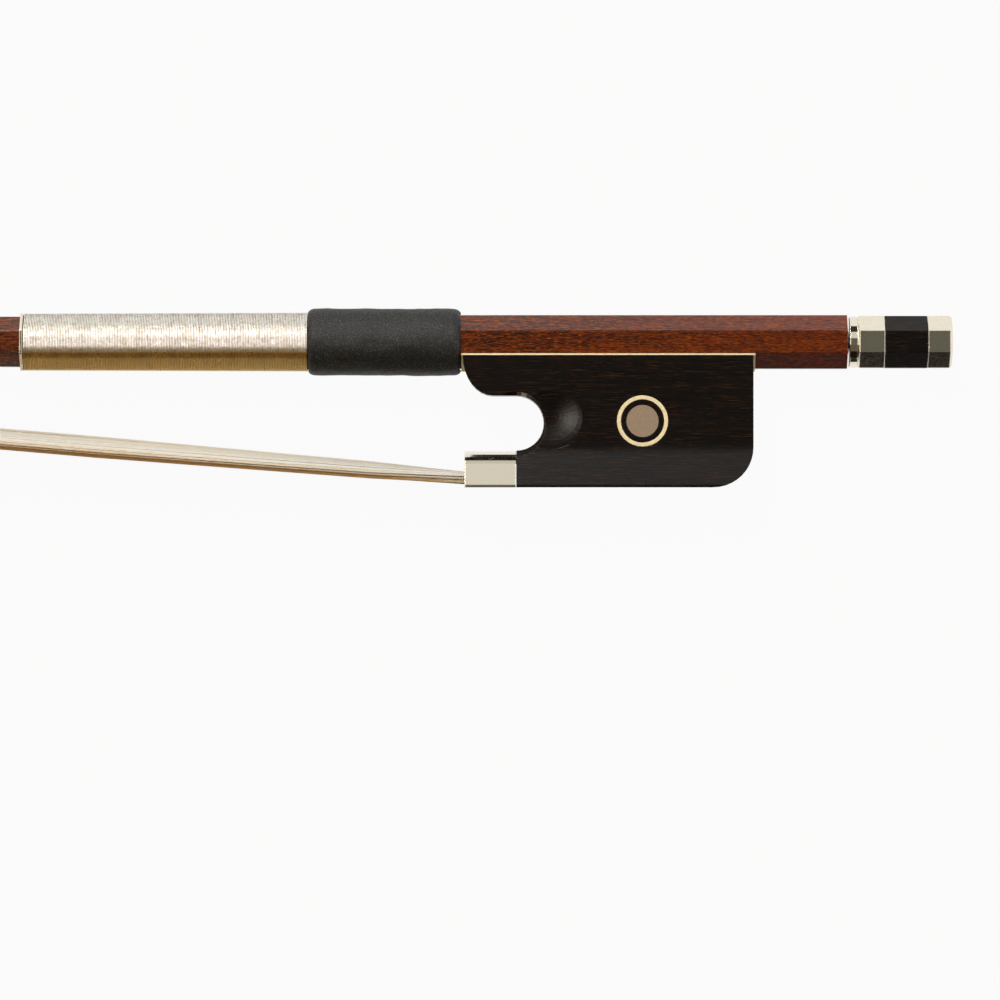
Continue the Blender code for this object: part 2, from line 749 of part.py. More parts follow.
def make_underslide(carrier, silver, brass):
    inner = underslide_inner
    outer = underslide_outer
    root = math.sqrt(2)
    low = frog_top + glue_gap
    top = low + flange_thickness
    edge = outer * root + low
    rim = max(frog_top_width / 2 + flange_proud, edge + flange_thickness)
    half = [(-outer, outer * eighth), (low, edge), (low, rim), (top, rim - flange_thickness),
            (top, inner * root + top), (-inner, inner * eighth)]
    section = half + [(y, -z) for y, z in reversed(half)]
    slide = piece("underslide", prism(section, "X", -front_overhang,
                                      frog_length + rear_overhang), carrier, silver)
    cut(slide, "underslide_eyelet_hole",
        turned([(-2 * outer, eyelet_stem_diameter / 2 + fit_gap),
                (0.0, eyelet_stem_diameter / 2 + fit_gap)],
               (eyelet_position, 0.0, 0.0), "Y", 16))
    head = underslide_screw_head / 2
    for index, x in enumerate(underslide_screws):
        cut(slide, "underslide_screw_seat_%d" % (index + 1),
            turned([(-2 * outer, head + glue_gap), (0.0, head + glue_gap)],
                   (x, 0.0, 0.0), "Y", 16))
        shank = underslide_screw_diameter / 2
        end = -outer - underslide_screw_length
        profile = [(end, shank / 2), (end + underslide_screw_point, shank), (-outer, shank),
                   (-outer, head), (-inner, head)]
        piece("underslide_screw_%d" % (index + 1),
              turned(profile, (x, 0.0, 0.0), "Y", 16), carrier, brass)


def make_ferrule(carrier, silver, maple):
    front = fit_gap
    back = throat_centre - glue_gap
    shell = piece("ferrule", prism(arch(0.0), "X", back - ferrule_length, back), carrier, silver)
    cut(shell, "ferrule_bore", prism(arch(ferrule_wall), "X", -throat_centre,
                                     throat_centre + overcut))

    top = tongue_floor - fit_gap
    side = foot_half(tongue_floor) - ferrule_wall - fit_gap
    wedge = [(front + fit_gap, top), (front + fit_gap, top - wedge_thickness),
             (front + wedge_length, top - wedge_thickness / 3), (front + wedge_length, top)]
    piece("ferrule_wedge", prism(wedge, "Z", -side, side), carrier, maple)


def make_slide(carrier, ebony, pearl):
    mouth = slide_mouth_width / 2
    root = slide_root_width / 2
    slope = (root - mouth) / (slide_root - frog_bottom)

    def layer(name, low, high, material):
        at = [mouth + slope * (level - frog_bottom) - glue_gap for level in (low, high)]
        section = [(low, at[0]), (high, at[1]), (high, -at[1]), (low, -at[0])]
        piece(name, prism(section, "X", slide_front, slide_rear), carrier, material)

    layer("pearl_slide", frog_bottom, frog_bottom + pearl_thickness, pearl)
    low = frog_bottom + pearl_thickness + glue_gap
    layer("slide_carrier", low, low + carrier_thickness, ebony)


def make_eyes(carrier, silver, pearl):
    ring = eye_ring_diameter / 2
    for side, name in ((1, "near"), (-1, "far")):
        low, high = sorted((side * (eye_face - eye_thickness), side * eye_face))
        centre = (*eye_position, 0.0)
        piece("eye_ring_" + name, tube([(low, ring), (high, ring)], ring - eye_ring_band,
                                       centre, "Z", 32), carrier, silver)
        piece("eye_pearl_" + name, turned([(low, eye_dot_diameter / 2),
                                           (high, eye_dot_diameter / 2)], centre, "Z", 24),
              carrier, pearl)


def make_eyelet(carrier, brass):
    side = eyelet_width / 2
    long = eyelet_length / 2
    high = eyelet_height / 2
    body = piece("eyelet", box((eyelet_position - long, eyelet_position + long), (-high, high),
                               (-side, side)), carrier, brass)
    stem = eyelet_stem_diameter / 2
    join(body, "eyelet_stem", turned([(-eyelet_stem_depth, 0.7 * stem),
                                      (-eyelet_stem_depth + stem, stem),
                                      (-high + overcut, stem)],
                                     (eyelet_position, 0.0, 0.0), "Y", 16))
    thread = rod_diameter / 2 + glue_gap
    cut(body, "eyelet_thread", turned([(-overcut, thread), (eyelet_position * 2, thread)],
                                      screw_axis, "X", 24))


def make_frog_plug(carrier, maple, thread):
    half = frog_mortise_width / 2 - fit_gap
    roof = slide_root + frog_mortise_depth - fit_gap
    floor = slide_root + hair_channel_height / 2 + hair_thickness / 2 + fit_gap
    back = frog_mortise_front + frog_mortise_length - fit_gap
    radius = frog_knot_diameter / 2
    knot = back - radius
    level = slide_root + radius
    piece("frog_hair_knot", bundle(half, radius, (knot, level, 0.0)), carrier, thread)
    front = frog_mortise_front + fit_gap
    step = knot - radius - fit_gap
    top = level + radius + fit_gap
    plug = [(front, floor), (step, floor), (step, top), (back, top), (back, roof), (front, roof)]
    piece("frog_plug", prism(plug, "Z", -half, half), carrier, maple)


# Hair

def hair_route():
    """Centre line of the ribbon from the frog's mortise to the knot in the head."""
    knot = frog_mortise_front + frog_mortise_length - fit_gap - frog_knot_diameter
    level = slide_root + hair_channel_height / 2
    mouth = Vector((0.0, -hair_drop, 0.0))
    dip = Vector((throat_centre - hair_dip, -hair_drop, 0.0))
    route = [Vector((knot - fit_gap, level, 0.0)), Vector((throat_centre + fit_gap, level, 0.0)),
             dip]

    plate_bottom = 2 * glue_gap + liner_thickness + plate_thickness
    lift = hair_thickness / 2 + glue_gap
    heel = neck_frame @ Vector((-head_heel, bed(-head_heel, plate_bottom + lift), 0.0))
    count = math.ceil((mouth.x - heel.x) / hair_step)
    for i in range(count + 1):
        share = i / count
        point = mouth.lerp(heel, share)
        point.y -= hair_slack * 4 * share * (1 - share)
        route.append(point)
    wall = -window_front + fit_gap + hair_thickness / 2
    turn = tip_hair_bend
    face = bed(wall + turn, plate_bottom + lift)
    end = head_mortise_depth - head_height - tip_knot_diameter - 2 * fit_gap
    bend = [(wall + turn - turn * math.sin(angle), face + turn - turn * math.cos(angle))
            for angle in (0.0, math.radians(30), math.radians(60), math.radians(90))]
    for x, y in [(wall + 2 * turn, bed(wall + 2 * turn, plate_bottom + lift)), *bend, (wall, end)]:
        route.append(neck_frame @ Vector((x, y, 0.0)))
    return route


def hair_section(x):
    """Width, thickness and roll in degrees of the ribbon at x."""
    head = (neck_frame @ Vector((-head_heel, -head_height, 0.0))).x
    level = throat_centre - hair_dip
    widths = [(head, hair_width_head), (head + hair_fan, 0.72 * hair_width_frog),
              (-fit_gap, hair_width_frog), (level, hair_width_frog),
              (throat_centre + fit_gap, frog_mortise_width - 4 * fit_gap)]
    thicknesses = [(head, hair_thickness), (head + hair_fan, hair_loose_thickness),
                   (-hair_twist, hair_loose_thickness), (-fit_gap, hair_mouth_thickness),
                   (level, hair_thickness)]
    rolls = [(head, 0.0), (head + hair_twist, hair_roll), (-hair_twist, hair_roll),
             (-fit_gap, hair_mouth_roll), (level, 0.0)]
    return between(widths, x), between(thicknesses, x), between(rolls, x)


def make_hair(carrier, material):
    route = hair_route()
    rings = []
    for i, point in enumerate(route):
        ahead = route[min(i + 1, len(route) - 1)]
        behind = route[max(i - 1, 0)]
        along = (ahead - behind).normalized()
        width, thickness, roll = hair_section(point.x)
        turn = Matrix.Rotation(math.radians(roll), 3, along)
        up = turn @ Vector((along.y, -along.x, 0.0))
        across = turn @ Vector((0.0, 0.0, width / 2))
        ring = []
        for j in range(2 * hair_ridges + 1):
            rise = thickness * (0.5 if j % 2 else 0.25)
            ring.append(point + up * rise + across * (j / hair_ridges - 1))
        for side in (0.92, 0.0, -0.92):
            ring.append(point - up * thickness / 2 + across * side)
        rings.append(ring)
    piece("hair_ribbon", loft(rings), carrier, material)


# Screw and button

def octagon_ring(x, half, bore):
    """Matching rings of 24 points: an octagon outside or a circle inside."""
    ring = []
    for i in range(24):
        angle = 2 * math.pi * (i + 0.5) / 24
        turn = (angle + math.pi / 8) % (math.pi / 4) - math.pi / 8
        reach = bore if bore else half / math.cos(turn)
        ring.append(Vector((x, reach * math.cos(angle), reach * math.sin(angle))))
    return ring


def make_screw(carrier, steel, silver, ebony):
    half = button_width / 2
    start = stick_end + fit_gap
    ring_start = start + collar_length
    core_start = ring_start + front_ring_length + glue_gap
    core_end = core_start + core_length
    cap_start = core_end + glue_gap
    cap_end = cap_start + end_cap_length
    spigot = half - ring_wall - glue_gap
    bore = half - ring_wall
    shank = rod_diameter / 2
    hole = shank + glue_gap
    cap_inner = cap_end - cap_floor
    rod_end = cap_inner - 2 * fit_gap
    collar = collar_diameter / 2

    rod = [(rod_front - rod_tip_length, 0.6 * rod_tip_diameter / 2),
           (rod_front - rod_tip_length + rod_tip_chamfer, rod_tip_diameter / 2),
           (rod_front, rod_tip_diameter / 2), (rod_front, shank), (rod_end, shank)]
    piece("screw_rod", turned(rod, screw_axis, "X", 24), carrier, steel)

    edge = button_chamfer
    lip = collar_chamfer
    rings = [octagon_ring(start, 0, collar - lip), octagon_ring(start + lip, 0, collar),
             octagon_ring(ring_start - lip, 0, collar), octagon_ring(ring_start, 0, collar - lip),
             octagon_ring(ring_start, half - edge / 2, 0),
             octagon_ring(ring_start + edge / 2, half, 0),
             octagon_ring(core_start - glue_gap, half, 0),
             octagon_ring(core_start - glue_gap, 0, bore),
             octagon_ring(start + collar_length + fit_gap, 0, bore),
             octagon_ring(start + collar_length + fit_gap, 0, hole + fit_gap),
             octagon_ring(start, 0, hole + fit_gap)]
    piece("button_collar", loft(rings, closed=True), carrier, silver)

    front = ring_start + 2 * fit_gap
    rear = cap_inner - fit_gap
    rings = [octagon_ring(front, 0, spigot), octagon_ring(core_start, 0, spigot),
             octagon_ring(core_start, half, 0), octagon_ring(core_end, half, 0),
             octagon_ring(core_end, 0, spigot), octagon_ring(rear, 0, spigot),
             octagon_ring(rear, 0, hole), octagon_ring(front, 0, hole)]
    piece("button_core", loft(rings, closed=True), carrier, ebony)

    rings = [octagon_ring(cap_inner, 0, bore), octagon_ring(cap_start, 0, bore),
             octagon_ring(cap_start, half, 0), octagon_ring(cap_end - edge, half, 0),
             octagon_ring(cap_end, half - edge, 0)]
    piece("button_end_cap", loft(rings), carrier, silver)


# The whole bow

def set_down(bow):
    """Centre the finished bow over the origin and stand it on the floor."""
    bpy.context.view_layer.update()
    graph = bpy.context.evaluated_depsgraph_get()
    low = Vector((math.inf,) * 3)
    high = -low
    for part in bpy.context.scene.objects:
        if part.type not in {"MESH", "CURVE"} or part.hide_render:
            continue
        solid = part.evaluated_get(graph)
        for vertex in solid.to_mesh().vertices:
            point = part.matrix_world @ vertex.co
            low = Vector(map(min, low, point))
            high = Vector(map(max, high, point))
        solid.to_mesh_clear()
    middle = (low + high) / 2
    bow.location = (-middle.x, -middle.y, -low.z)
    print("screw axis at x = %.3f, y = %.3f, z = %.3f mm"
          % tuple(value / mm for value in bow.location))
    print("size %.2f x %.2f x %.2f mm" % tuple((high - low) / mm))


def main():
    for old in list(bpy.data.objects):
        bpy.data.objects.remove(old)

    pernambuco = finish("pernambuco", (0.147, 0.028, 0.007), 0.28)
    ebony = finish("ebony", (0.009, 0.007, 0.006), 0.32)
    silver = finish("silver", (0.70, 0.65, 0.57), 0.24, 1.0)
    wire = finish("silver_wire", (0.66, 0.62, 0.54), 0.33, 1.0)
    brass = finish("brass", (0.52, 0.34, 0.12), 0.35, 1.0)
    steel = finish("steel", (0.42, 0.41, 0.40), 0.3, 1.0)
    pearl = finish("pearl", (0.44, 0.33, 0.21), 0.22)
    bone = finish("bone", (0.79, 0.73, 0.60), 0.4)
    maple = finish("maple", (0.52, 0.36, 0.18), 0.6)
    thread = finish("knot_thread", (0.62, 0.55, 0.42), 0.8)
    silk = finish("silk", (0.30, 0.22, 0.13), 0.7)
    leather = finish("leather", (0.022, 0.023, 0.025), 0.6)
    hair = finish("horse_hair", (0.83, 0.74, 0.60), 0.5)

    bow = empty("bow")
    frog = empty("frog_travel", bow)
    screw = empty("screw_turning", bow)

    make_stick(bow, pernambuco)
    make_tip(bow, ebony, bone, maple, thread)
    make_grip(bow, leather, silk, wire)
    make_frog_body(frog, ebony)
    make_underslide(frog, silver, brass)
    make_ferrule(frog, silver, maple)
    make_slide(frog, ebony, pearl)
    make_eyes(frog, silver, pearl)
    make_eyelet(frog, brass)
    make_frog_plug(frog, maple, thread)
    make_hair(bow, hair)
    make_screw(screw, steel, silver, ebony)
    set_down(bow)


main()
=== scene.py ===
# Viola bow on a white table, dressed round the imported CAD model.
import json
import math
import random

import bpy
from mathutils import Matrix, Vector


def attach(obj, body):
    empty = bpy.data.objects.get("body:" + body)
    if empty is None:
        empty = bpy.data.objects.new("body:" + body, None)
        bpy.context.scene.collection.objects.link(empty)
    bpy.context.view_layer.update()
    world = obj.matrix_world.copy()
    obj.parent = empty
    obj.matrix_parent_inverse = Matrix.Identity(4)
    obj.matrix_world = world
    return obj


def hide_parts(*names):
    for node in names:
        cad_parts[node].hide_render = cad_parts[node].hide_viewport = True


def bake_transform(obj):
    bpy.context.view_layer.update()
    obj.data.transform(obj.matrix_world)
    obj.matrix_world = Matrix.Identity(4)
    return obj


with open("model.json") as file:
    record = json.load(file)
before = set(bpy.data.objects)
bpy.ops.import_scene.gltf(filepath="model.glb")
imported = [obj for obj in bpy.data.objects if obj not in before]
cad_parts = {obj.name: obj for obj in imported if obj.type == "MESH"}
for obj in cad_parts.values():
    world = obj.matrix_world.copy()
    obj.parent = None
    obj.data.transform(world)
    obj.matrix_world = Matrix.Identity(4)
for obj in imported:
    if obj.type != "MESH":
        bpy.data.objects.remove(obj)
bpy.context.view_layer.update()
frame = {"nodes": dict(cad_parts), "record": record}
nodes = frame["nodes"]
mm = 0.001
axis = Vector((0.290044, -0.021086, 0.0069))    # the screw's axis at the front of the frog


# Scene: camera, floor, light

view = {
    "centre": (6.17, -26.3),      # millimetres from the screw's axis, in the picture's middle
    "width": 166.67,              # millimetres across the picture
    "distance": 1.0,              # metres above the middle plane of the bow
    "sensor": 36.0,
}

camera = bpy.data.cameras.new("camera")
camera.sensor_width = view["sensor"]
camera.lens = view["sensor"] * view["distance"] / (view["width"] * mm)
cameraObject = bpy.data.objects.new("camera", camera)
right, up = view["centre"]
cameraObject.location = axis + Vector((right * mm, up * mm, view["distance"]))
bpy.context.scene.collection.objects.link(cameraObject)
bpy.context.scene.camera = cameraObject
bpy.context.scene.view_settings.view_transform = "Standard"
print("camera ready")


def hexColor(text):
    # sRGB hex to the linear values that Blender's sockets take
    parts = [int(text[i:i + 2], 16) / 255 for i in (1, 3, 5)]
    return (*[p / 12.92 if p <= 0.04045 else ((p + 0.055) / 1.055) ** 2.4 for p in parts], 1.0)


def addNode(tree, kind, inputs=None, stops=None, **settings):
    # a socket value is linked, anything else is set; a hex text becomes a colour
    node = tree.nodes.new("ShaderNode" + kind)
    for name, value in settings.items():
        setattr(node, name, value)
    for name, value in (inputs or {}).items():
        if isinstance(value, bpy.types.NodeSocket):
            tree.links.new(value, node.inputs[name])
        else:
            node.inputs[name].default_value = hexColor(value) if isinstance(value, str) else value
    for place, (position, color) in enumerate(stops or []):
        ramp = node.color_ramp.elements
        if place >= len(ramp):
            ramp.new(position)
        ramp[place].position = position
        ramp[place].color = hexColor(color)
    return node


def startMaterial(name, **values):
    material = bpy.data.materials.new(name)
    material.use_nodes = True
    tree = material.node_tree
    shader = tree.nodes["Principled BSDF"]
    for socket, value in values.items():
        shader.inputs[socket.replace("_", " ")].default_value = value
    return material, tree, shader


floorLook = {
    "color": "#a09f9b", "roughness": 0.9, "size": 30.0,
    "share": 0.95,                  # how white the floor is where it shows as background
    "mirrored": (-0.35, -0.1),      # between these y its reflections turn from grey to white
}

bpy.ops.mesh.primitive_plane_add(size=floorLook["size"])
floor = bpy.context.object
floor.name = "floor"
material, tree, shader = startMaterial("paintedTable", Roughness=floorLook["roughness"])
shader.inputs["Base Color"].default_value = hexColor(floorLook["color"])
path = addNode(tree, "LightPath").outputs
place = addNode(tree, "SeparateXYZ", {0: addNode(tree, "TexCoord").outputs["Object"]})
grey, white = floorLook["mirrored"]
beyond = addNode(tree, "MapRange", {"Value": place.outputs["Y"], "From Min": grey,
                                    "From Max": white})
mirrored = addNode(tree, "Math", {0: path["Is Glossy Ray"], 1: beyond.outputs[0]},
                   operation="MULTIPLY")
direct = addNode(tree, "Math", {0: path["Is Camera Ray"], 1: path["Is Transmission Ray"]},
                 operation="MAXIMUM")
direct = addNode(tree, "Math", {0: direct.outputs[0], 1: mirrored.outputs[0]}, operation="MAXIMUM")
share = addNode(tree, "Math", {0: direct.outputs[0], 1: floorLook["share"]}, operation="MULTIPLY")
glow = addNode(tree, "Emission", {"Color": "#ffffff"})
mixed = addNode(tree, "MixShader", {0: share.outputs[0], 1: shader.outputs[0], 2: glow.outputs[0]})
tree.links.new(mixed.outputs[0], tree.nodes["Material Output"].inputs["Surface"])
floor.data.materials.append(material)


skyLook = {
    # (height of the direction, colour) from the horizon to straight above, at the two sides of
    # the bow: a bright wall and a bright ceiling ring beyond its back, a dim room beyond its hair
    "back": [(0.0, "#ffffff"), (0.20, "#ffffff"), (0.30, "#2e2e30"), (0.70, "#2e2e30"),
             (0.78, "#dededa"), (0.92, "#dededa"), (0.97, "#66665e")],
    "hair": [(0.0, "#12100c"), (0.70, "#1a1714"), (0.78, "#4a463e"), (0.92, "#6a665e"),
             (0.97, "#62625a")],
    "blend": 0.22,                          # how softly one side turns into the other
    "ends": ("#c8983c", "#fbfaf8"),         # beyond both ends of the bow, on the hair's side
                                            # and on the back's
    "endsReach": (0.5, 0.85),               # sideways, from where they begin to where they are full
    # bright windows beyond both ends, which only polished surfaces mirror
    "windowReach": (0.2, 0.4), "windowHeight": (0.6, 0.75), "windowLight": 4.0,
    "windowColors": ("#e8e0d8", "#f4f0ff"),     # towards the head and towards the button
    # a small bare lamp in the window towards the head, for the light beside the throat
    "sparkReach": (-0.14, -0.24), "sparkHeight": (0.9, 0.94), "sparkLight": 24.0,
}

world = bpy.data.worlds.new("studio")
world.use_nodes = True
bpy.context.scene.world = world
tree = world.node_tree
split = addNode(tree, "SeparateXYZ", {0: addNode(tree, "TexCoord").outputs["Generated"]}).outputs
sideways = addNode(tree, "Math", {0: split["X"]}, operation="ABSOLUTE").outputs[0]

reached = {}        # 0 where a direction is before each of these reaches, 1 where it is beyond
for name, source, (low, high) in (
        ("ends", sideways, skyLook["endsReach"]),
        ("back", split["Y"], (-skyLook["blend"], skyLook["blend"])),
        ("window", sideways, skyLook["windowReach"]),
        ("windowTop", split["Z"], skyLook["windowHeight"]),
        ("button", split["X"], (-skyLook["windowReach"][0], skyLook["windowReach"][0])),
        ("spark", split["X"], skyLook["sparkReach"]),
        ("sparkTop", split["Z"], skyLook["sparkHeight"])):
    reached[name] = addNode(tree, "MapRange", {"Value": source, "From Min": low,
                                               "From Max": high}).outputs[0]

sides = []
for side, end in zip(("hair", "back"), skyLook["ends"]):
    ramp = addNode(tree, "ValToRGB", {0: split["Z"]}, stops=skyLook[side])
    sides.append(addNode(tree, "Mix", {0: reached["ends"], 6: ramp.outputs[0], 7: end},
                         data_type="RGBA").outputs[2])
sky = addNode(tree, "Mix", {0: reached["back"], 6: sides[0], 7: sides[1]}, data_type="RGBA")
path = addNode(tree, "LightPath").outputs
direct = addNode(tree, "Math", {0: path["Is Camera Ray"], 1: path["Is Transmission Ray"]},
                 operation="MAXIMUM")
seen = addNode(tree, "Mix", {0: direct.outputs[0], 6: sky.outputs[2], 7: "#ffffff"},
               data_type="RGBA")
back = tree.nodes["Background"]
tree.links.new(seen.outputs[2], back.inputs["Color"])

window = reached["window"]
for limit in (reached["windowTop"], reached["back"], path["Is Glossy Ray"]):
    window = addNode(tree, "Math", {0: window, 1: limit}, operation="MULTIPLY").outputs[0]
headColor, buttonColor = skyLook["windowColors"]
tone = addNode(tree, "Mix", {0: reached["button"], 6: headColor, 7: buttonColor},
               data_type="RGBA")
spark = addNode(tree, "Math", {0: reached["spark"], 1: reached["sparkTop"]},
                operation="MULTIPLY")
bright = addNode(tree, "MapRange", {"Value": spark.outputs[0], "To Min": skyLook["windowLight"],
                                    "To Max": skyLook["sparkLight"]})
glow = addNode(tree, "Background", {"Color": tone.outputs[2], "Strength": bright.outputs[0]})
lit = addNode(tree, "MixShader", {0: window, 1: back.outputs[0], 2: glow.outputs[0]})
tree.links.new(lit.outputs[0], tree.nodes["World Output"].inputs["Surface"])

softbox = {"place": (0.05, 0.85, 0.75), "size": (1.2, 0.14), "power": 9.0, "color": "#fffaf2"}

lamp = bpy.data.lights.new("softbox", "AREA")
lamp.shape = "RECTANGLE"
lamp.size, lamp.size_y = softbox["size"]
lamp.energy = softbox["power"]
lamp.color = hexColor(softbox["color"])[:3]
lampObject = bpy.data.objects.new("softbox", lamp)
lampObject.location = softbox["place"]
lampObject.rotation_euler = Vector(softbox["place"]).to_track_quat("Z", "X").to_euler()
bpy.context.scene.collection.objects.link(lampObject)
print("floor and light ready")


def perMm(*sizes):
    # a Mapping scale that makes one step of a pattern this many millimetres long
    return tuple(1 / (size * mm) for size in sizes)


def along(tree, source, sizes, **settings):
    # a noise whose grains have these sizes in millimetres along x, y and z
    placed = addNode(tree, "Mapping", {"Vector": source, "Scale": perMm(*sizes)})
    return addNode(tree, "TexNoise", {"Vector": placed.outputs[0], **settings}).outputs[0]


def objectCoordinates(tree):
    return addNode(tree, "TexCoord").outputs["Object"]


# Pernambuco, scraped, oiled and polished by hand: reddish brown, with dark and orange streaks
# along the bent stick and short pores that catch the light

# start, rise and span in millimetres of the two parabolas that add up to the stick's bend
camber = [(65.0, 57.46, 565.0), (530.0, 2.45, 100.0)]


def bentCoordinates(tree):
    # object coordinates with the camber of the stick taken out, so that the grain follows the bend
    split = addNode(tree, "SeparateXYZ", {0: objectCoordinates(tree)}).outputs
    level = split["Y"]
    for start, rise, span in camber:
        run = addNode(tree, "Math", {0: axis.x - start * mm, 1: split["X"]}, operation="SUBTRACT")
        run = addNode(tree, "Math", {0: run.outputs[0], 1: 0.0}, operation="MAXIMUM")
        square = addNode(tree, "Math", {0: run.outputs[0], 1: 2.0}, operation="POWER")
        lift = addNode(tree, "Math", {0: square.outputs[0], 1: rise / (span * span * mm)},
                       operation="MULTIPLY")
        level = addNode(tree, "Math", {0: level, 1: lift.outputs[0]},
                        operation="SUBTRACT").outputs[0]
    return addNode(tree, "CombineXYZ", {0: split["X"], 1: level, 2: split["Z"]}).outputs[0]


woodLook = {
    "dark": "#140501", "middle": "#401504", "light": "#803205",
    "bands": (40, 1.6, 1.6), "streaks": (7, 0.35, 0.35), "roughness": 0.18,
    "edge": 0.12, "headEdge": 0.9, "headReach": (-632, -620),      # rounding there and elsewhere
    # spots: size, colour, where the noise begins and is full, strength, and where along the bow
    # they begin and are full; a size beyond the bow's own gives an even tint
    "spots": [((16, 1.3, 1.3), "#a84a08", 0.52, 0.64, 0.45, (-600, -560)),
              ((5.0, 0.4, 0.35), "#c4640e", 0.55, 0.66, 0.85, (-600, -560)),
              ((2000, 2000, 2000), "#8c3403", 0.0, 0.01, 0.35, (5, 60)),
              ((2000, 2000, 2000), "#1a0702", 0.0, 0.01, 0.7, (-500, -600)),
              ((1.3, 0.36, 0.36), "#b8581a", 0.56, 0.64, 0.85, (-600, -625)),
              ((6.0, 0.4, 0.35), "#0e0300", 0.53, 0.62, 0.85, (-625, -600))],
}

# what all woods share: share of the fine streaks, where its three colours are, and the pores
woodGrain = {"mix": 0.45, "steps": (0.38, 0.5, 0.62), "pores": 0.25, "depth": 0.03}


def softEdge(tree, look):
    # the normal of edges rounded by some millimetres, and by more in the bow's head
    if "headEdge" not in look:
        return addNode(tree, "Bevel", {"Radius": look["edge"] * mm}, samples=4).outputs[0]
    place = addNode(tree, "SeparateXYZ", {0: objectCoordinates(tree)})
    head, rest = look["headReach"]
    radius = addNode(tree, "MapRange", {
        "Value": place.outputs["X"], "From Min": axis.x + head * mm, "From Max": axis.x + rest * mm,
        "To Min": look["headEdge"] * mm, "To Max": look["edge"] * mm})
    return addNode(tree, "Bevel", {"Radius": radius.outputs[0]}, samples=8).outputs[0]


def makeWood(name, look, coordinates, **values):
    material, tree, shader = startMaterial(name, Roughness=look["roughness"], **values)
    source = coordinates(tree)
    bands = along(tree, source, look["bands"], Detail=3.0, Roughness=0.55)
    streaks = along(tree, source, look["streaks"], Detail=4.0, Roughness=0.6)
    both = addNode(tree, "Mix", {0: woodGrain["mix"], 2: bands, 3: streaks}).outputs[0]
    tones = zip(woodGrain["steps"], (look["dark"], look["middle"], look["light"]))
    color = addNode(tree, "ValToRGB", {0: both}, stops=tones).outputs[0]
    for size, tone, low, high, strength, reach in look["spots"]:
        spots = along(tree, source, size, Detail=2.0, Roughness=0.5)
        shown = addNode(tree, "MapRange", {"Value": spots, "From Min": low, "From Max": high,
                                           "To Max": strength}).outputs[0]
        if reach:
            begin, full = (axis.x + place * mm for place in reach)
            place = addNode(tree, "SeparateXYZ", {0: source})
            there = addNode(tree, "MapRange", {"Value": place.outputs[0], "From Min": begin,
                                               "From Max": full})
            shown = addNode(tree, "Math", {0: shown, 1: there.outputs[0]},
                            operation="MULTIPLY").outputs[0]
        color = addNode(tree, "Mix", {0: shown, 6: color, 7: tone}, data_type="RGBA").outputs[2]
    tree.links.new(color, shader.inputs["Base Color"])
    bump = addNode(tree, "Bump", {"Height": spots, "Strength": woodGrain["pores"],
                                  "Distance": woodGrain["depth"] * mm,
                                  "Normal": softEdge(tree, look)})     # the last spots are pores
    tree.links.new(bump.outputs[0], shader.inputs["Normal"])
    return material


pernambuco = makeWood("pernambucoPolished", woodLook, bentCoordinates, Coat_Weight=0.1,
                      Coat_Roughness=0.1)


# Ebony, filed and polished: nearly black, with brown streaks along the grain

ebonyLook = {
    "dark": "#050403", "middle": "#0d0907", "light": "#1e120a",
    "bands": (45, 1.8, 1.8), "streaks": (12, 0.4, 0.4), "roughness": 0.19, "edge": 0.15,
    "spots": [((16, 0.6, 0.5), "#4e2e18", 0.57, 0.70, 0.6, None),
              ((7, 0.4, 0.35), "#040302", 0.54, 0.66, 0.8, None)],
}

ebony = makeWood("ebonyPolished", ebonyLook, objectCoordinates, Specular_IOR_Level=0.3)


# Maple, split and cut with a knife: pale and matt, with fine darker rays

mapleLook = {
    "dark": "#a8875c", "middle": "#c8a878", "light": "#dcc398",
    "bands": (20, 1.5, 1.5), "streaks": (8, 0.4, 0.4), "roughness": 0.62, "edge": 0.1,
    "spots": [((3.0, 0.25, 0.25), "#9a784c", 0.58, 0.68, 0.7, None)],
}

maple = makeWood("mapleCut", mapleLook, objectCoordinates)


# Metals: rolled, drawn or turned, then polished or left satin by the file, with faint marks of
# the tools and cloudy wear

metalLooks = {
    "silverPolished": {"color": "#efe6d4", "worn": "#eae1ce", "roughness": 0.09,
                       "marks": (8, 2, 2), "edge": 0.2},
    "silverSatin": {"color": "#f2e2b8", "worn": "#dcc896", "roughness": 0.42,
                    "marks": (0.3, 0.3, 0.3), "edge": 0.1},
    "silverWireDrawn": {"color": "#faf7f0", "worn": "#d8cebc", "roughness": 0.3,
                        "marks": (0.5, 30, 30), "edge": 0.02,
                        "paintedReflection": ("#dcbc7c", -1.7, -2.0)},    # painted golden reflection on its lower side, from one height to the other
    "brassFiled": {"color": "#c9a85c", "worn": "#a07f3a", "roughness": 0.34,
                   "marks": (0.6, 0.6, 0.6), "edge": 0.1},
    "steelTurned": {"color": "#b4b2ae", "worn": "#8f8c88", "roughness": 0.3,
                    "marks": (0.3, 3, 3), "edge": 0.1},
}

# what all metals share: the wear's cloud, where both colours are, how far the wear makes them
# duller or brighter, and the marks
metalWear = {"cloud": (3.0, 3.0, 3.0), "mix": 0.5, "steps": (0.38, 0.56), "span": (0.3, 0.7),
             "dull": 1.35, "bright": 0.75, "marks": 0.08, "depth": 0.01}


